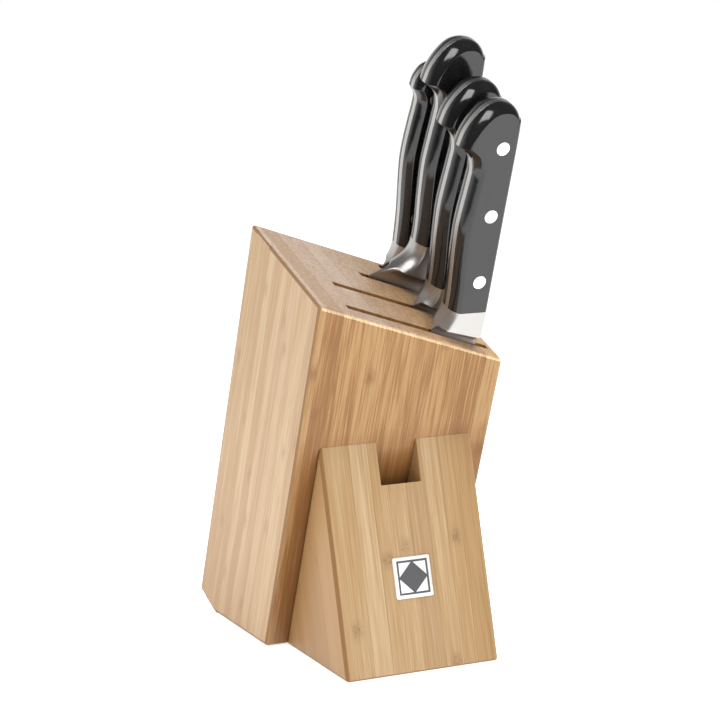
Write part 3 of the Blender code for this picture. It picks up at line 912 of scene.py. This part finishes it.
class KNIFEBLOCK_OT_wedge(bpy.types.Operator):
    """Builds the supporting wedge with its shears pocket"""

    bl_idname = "knifeblock.wedge"
    bl_label = "Wedge"

    def execute(self, context):
        sizes = settings("_wedge")
        foot_y = settings().foot_y
        up = np.array([-math.sin(LEAN), math.cos(LEAN)])
        out = np.array([-math.cos(LEAN), -math.sin(LEAN)])
        foot = np.array([foot_y, 0.0])
        toe = foot - [sizes.toe, 0]
        apex = foot + up * sizes.top
        low = foot + up * sizes.pocket_floor
        inner = low + out * sizes.pocket_depth
        slope = toe - apex
        share = sizes.pocket_depth / float(np.dot(slope, out))
        lip = apex + slope * share
        solid = np.array([toe, foot, low, apex, lip])
        open_part = np.array([toe, foot, low, inner, lip])
        halves = np.array([-0.5, 0.5])
        ends = sizes.shift + halves * sizes.width
        pocket = sizes.shift + halves * sizes.pocket_width
        stations = [ends[0], pocket[0], pocket[0], pocket[1], pocket[1], ends[1]]
        profiles = [solid, solid, open_part, open_part, solid, solid]
        grid = np.array([np.column_stack([np.full(len(profile), x), profile])
                         for x, profile in zip(stations, profiles)])
        piece = surface("bamboo_wedge", grid, weld=1e-6)
        round_edges(piece, sizes.edge_round, self.edge_share(piece, sizes, ends, slope, apex, foot))
        tilt = math.atan2(slope[0], -slope[1])
        dress(piece, wedge_bamboo(tilt, float(toe[0])), "block", "wedge_bamboo", "support_wedge")
        return {"FINISHED"}

    @staticmethod
    def edge_share(piece, sizes, ends, slope, apex, foot):
        """One on outer edges of the wedge, a small share on the pocket's, by the planes they lie on."""
        x, y, z = edge_middles(piece, np.asarray).T
        across = np.array([slope[1], -slope[0]]) / np.linalg.norm(slope)
        on_slope = np.abs((y - apex[0]) * across[0] + (z - apex[1]) * across[1]) < NEAR
        on_back = np.abs((y - foot[0]) * math.cos(LEAN) + z * math.sin(LEAN)) < NEAR
        on_end = (np.abs(x - ends[0]) < NEAR) | (np.abs(x - ends[1]) < NEAR)
        outer = (on_slope.astype(int) + on_back + on_end + (np.abs(z) < NEAR)) >= 2
        share = np.where(outer, 1.0, sizes.pocket_round / sizes.edge_round)
        sharp_top = 0.4
        return np.where(on_slope & on_back, sharp_top, share)


class KNIFEBLOCK_OT_badge(bpy.types.Operator):
    """Builds the plain square badge with its frame line and diamond"""

    bl_idname = "knifeblock.badge"
    bl_label = "Badge"

    def execute(self, context):
        sizes = settings("_wedge")
        foot_y = settings().foot_y
        apex = Vector((0, foot_y - sizes.top * math.sin(LEAN), sizes.top * math.cos(LEAN)))
        toe = Vector((0, foot_y - sizes.toe, 0))
        down = (toe - apex).normalized()
        outward = Vector((0, down.z, -down.y))
        middle = apex + down * sizes.badge_below + Vector((sizes.shift, 0, 0))
        self.axes = np.array([(1, 0, 0), tuple(-down), tuple(outward)])
        self.middle = np.array(middle)
        half = sizes.badge_side / 2
        plate = [(half, 0.00002), (half, 0.0006), (half - 0.00012, 0.00078), (half - 0.0005, 0.0010)]
        frame_half, frame_width, base = half - 0.0019, 0.0012, 0.0009
        ring = [(frame_half, base), (frame_half, 0.00102),
                (frame_half - frame_width, 0.00102), (frame_half - frame_width, base)]
        diamond = [(0.0064, 0.00098), (0.0064, 0.00106)]
        rgb = tuple(settings("_finishes").bright_steel)
        silver = made_once("badge_silver_finish", steel, rgb, 0.5, (900, 900, 900), 0.55)
        dark = made_once("dark_enamel_finish", enamel)
        pieces = [
            (silver, self.stack("badge_plate_face", plate, 50.0, corner=0.0010)),
            (dark, self.stack("badge_frame_line", ring, 30.0, ring=True)),
            (dark, self.stack("badge_diamond", diamond, 50.0, turned=math.pi / 4)),
        ]
        for finish, piece in pieces:
            dress(piece, finish, "block", "badge_steel", "badge_plate")
        return {"FINISHED"}

    def stack(self, name, steps, sharp, ring=False, corner=0.0, turned=0.0):
        """Squares one above another on the slope: each step is half a side and a height."""
        rings = []
        for half, lift in steps:
            outline = self.square(half, corner, turned)
            rings.append(np.column_stack([outline, np.full(len(outline), lift)]))
        return surface(name, np.array(rings) @ self.axes + self.middle, sharp, ring)

    @staticmethod
    def square(half, corner, turned):
        """A square outline: quarter turns of arc centred inside each corner, or bare corners."""
        quarter = np.arange(4)[:, None] * math.pi / 2
        arc = quarter + (np.linspace(0, math.pi / 2, 4) if corner else math.pi / 4)
        centre = quarter + math.pi / 4
        reach = (half - corner) * math.sqrt(2)
        x = (reach * np.cos(centre) + corner * np.cos(arc)).ravel()
        y = (reach * np.sin(centre) + corner * np.sin(arc)).ravel()
        return np.column_stack([x * math.cos(turned) - y * math.sin(turned),
                                x * math.sin(turned) + y * math.cos(turned)])


class KNIFEBLOCK_OT_blades(bpy.types.Operator):
    """Builds the four forged blades with bolster and tang"""

    bl_idname = "knifeblock.blades"
    bl_label = "Blades"

    def execute(self, context):
        for name, knife in KNIVES.items():
            piece = knife_blade("steel_" + name, knife)
            dress(piece, knife_steel(), name, "knife_steel", name + "_blade")
        return {"FINISHED"}


class KNIFEBLOCK_OT_scales(bpy.types.Operator):
    """Builds the eight black handle scales"""

    bl_idname = "knifeblock.scales"
    bl_label = "Handle scales"

    def execute(self, context):
        for name, knife in KNIVES.items():
            for label, facing in (("front", -1), ("back", 1)):
                piece = knife_scale(f"black_{name}_{label}_scale", knife, facing)
                finish = made_once("black_plastic_finish", black_plastic)
                dress(piece, finish, name, "handle_black", f"{name}_{label}_scale")
        return {"FINISHED"}


class KNIFEBLOCK_OT_rivets(bpy.types.Operator):
    """Builds the twelve handle rivets"""

    bl_idname = "knifeblock.rivets"
    bl_label = "Rivets"

    def execute(self, context):
        for name, knife in KNIVES.items():
            places = HANDLES[knife["handle"]]["rivets"]
            for label, (across, up) in zip(("top", "middle", "bottom"), places):
                piece = rivet(f"turned_{name}_{label}_rivet", knife, across, up)
                dress(piece, bright_steel(), name, "rivet_steel", f"{name}_{label}_rivet")
        return {"FINISHED"}


class KNIFEBLOCK_OT_stage(bpy.types.Operator):
    """Sets up the floor, the soft lights and the camera"""

    bl_idname = "knifeblock.stage"
    bl_label = "Stage"

    def execute(self, context):
        stage = settings("_stage")
        context.scene.view_settings.view_transform = "Standard"
        self.floor(tuple(stage.floor))
        self.surroundings(context)
        target = Vector((0.0, 0.03, 0.15))
        beside = Vector((0.30, -0.45, 0.0))
        self.softbox("left_softbox", (-1.45, 0.15, 0.70), 0.8, 3.0, target)
        self.softbox("key_light", (-0.90, -0.42, 1.40), 0.75, 13.0, target, True)
        self.softbox("front_fill", (0.15, -1.70, 0.30), 1.2, 27.0, target)
        self.softbox("floor_light", (0.30, -0.45, 1.10), 0.8, 12.0, beside)
        self.sky_light()
        self.camera(context, stage)
        return {"FINISHED"}

    @staticmethod
    def floor(rgb):
        """A wide plain floor under the object."""
        mesh = bpy.data.meshes.new("floor")
        near, far, level = -0.9, 6.0, -0.0002
        corners = [(near, near, level), (far, near, level), (far, far, level), (near, far, level)]
        mesh.from_pydata(corners, [], [(0, 1, 2, 3)])
        piece = new_object("floor", mesh)
        nodes = new_material("floor_paper")
        speck = nodes.noise(nodes.place(), 40.0)
        nodes.set(Base_Color=nodes.mix(speck, rgb, [0.985 * part for part in rgb]), Roughness=0.9,
                  Emission_Color=(1.0, 1.0, 1.0, 1.0), Emission_Strength=0.62)
        mesh.materials.append(nodes.owner)

    @staticmethod
    def surroundings(context):
        """White all round to the eye; to surfaces, bright behind the object and dim in front of it."""
        world = bpy.data.worlds.new("studio")
        context.scene.world = world
        nodes = Nodes(world, "Background")
        _, back, up = nodes.parts(nodes.place("Generated"))
        behind = nodes.ramp(back, 0.15, 0.85)
        low = nodes.ramp(up, 0.75, 0.20, 0.10, 1.0)
        sweep = nodes.line(nodes.times(behind, low), 1.40, 0.05)
        rays = nodes.add("ShaderNodeLightPath", {})
        nodes.set(Color=(1.0, 1.0, 1.0, 1.0),
                  Strength=nodes.blend(rays.outputs["Is Camera Ray"], sweep, 1.0))

    @staticmethod
    def sky_light():
        """An even, very soft light from above, which keeps the whole floor pale."""
        light = bpy.data.lights.new("overhead_light", "SUN")
        light.energy = 1.1
        light.angle = math.radians(80)
        holder = new_object("overhead_light", light)
        holder.rotation_euler = Euler((math.radians(-8), math.radians(-12), 0.0))
        holder.visible_glossy = False

    @staticmethod
    def softbox(name, place, size, power, target, mirrored=False):
        """A square soft light that faces the target; surfaces show its reflection if it is mirrored."""
        light = bpy.data.lights.new(name, "AREA")
        light.shape = "SQUARE"
        light.size = size
        light.energy = power
        holder = new_object(name, light)
        holder.location = place
        holder.visible_camera = False
        holder.visible_glossy = mirrored
        holder.rotation_euler = (target - Vector(place)).to_track_quat("-Z", "Y").to_euler()

    @staticmethod
    def camera(context, stage):
        """The camera at its place, tilt and turn."""
        camera = bpy.data.cameras.new("camera")
        camera.lens = stage.lens
        camera.sensor_width = 36.0
        holder = new_object("camera", camera)
        holder.location = stage.camera_place
        holder.rotation_euler = Euler((stage.camera_tilt, 0.0, stage.camera_turn))
        context.scene.camera = holder


OPERATORS = [
    KNIFEBLOCK_OT_boards, KNIFEBLOCK_OT_strips, KNIFEBLOCK_OT_wedge, KNIFEBLOCK_OT_badge,
    KNIFEBLOCK_OT_blades, KNIFEBLOCK_OT_scales, KNIFEBLOCK_OT_rivets, KNIFEBLOCK_OT_stage,
]


class KNIFEBLOCK_PT_panel(bpy.types.Panel):
    """Lists the knife block's operators"""

    bl_idname = "KNIFEBLOCK_PT_panel"
    bl_label = "Knife Block"
    bl_space_type = "VIEW_3D"
    bl_region_type = "UI"
    bl_category = "Knife Block"

    def draw(self, context):
        column = self.layout.column()
        for operator in OPERATORS:
            column.operator(operator.bl_idname)


CLASSES = list(PROPERTY_GROUPS.values()) + OPERATORS + [KNIFEBLOCK_PT_panel]


def register():
    """Registers the classes and adds the property groups to scenes."""
    for item in CLASSES:
        bpy.utils.register_class(item)
    for name, group in PROPERTY_GROUPS.items():
        setattr(bpy.types.Scene, name, bpy.props.PointerProperty(type=group))


def unregister():
    """Takes back what register did."""
    for name in PROPERTY_GROUPS:
        delattr(bpy.types.Scene, name)
    for item in reversed(CLASSES):
        bpy.utils.unregister_class(item)


def main():
    """Registers the add-on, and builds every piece."""
    register()
    for operator in OPERATORS:
        category, name = operator.bl_idname.split(".")
        getattr(getattr(bpy.ops, category), name)()


if __name__ == "__main__":
    main()
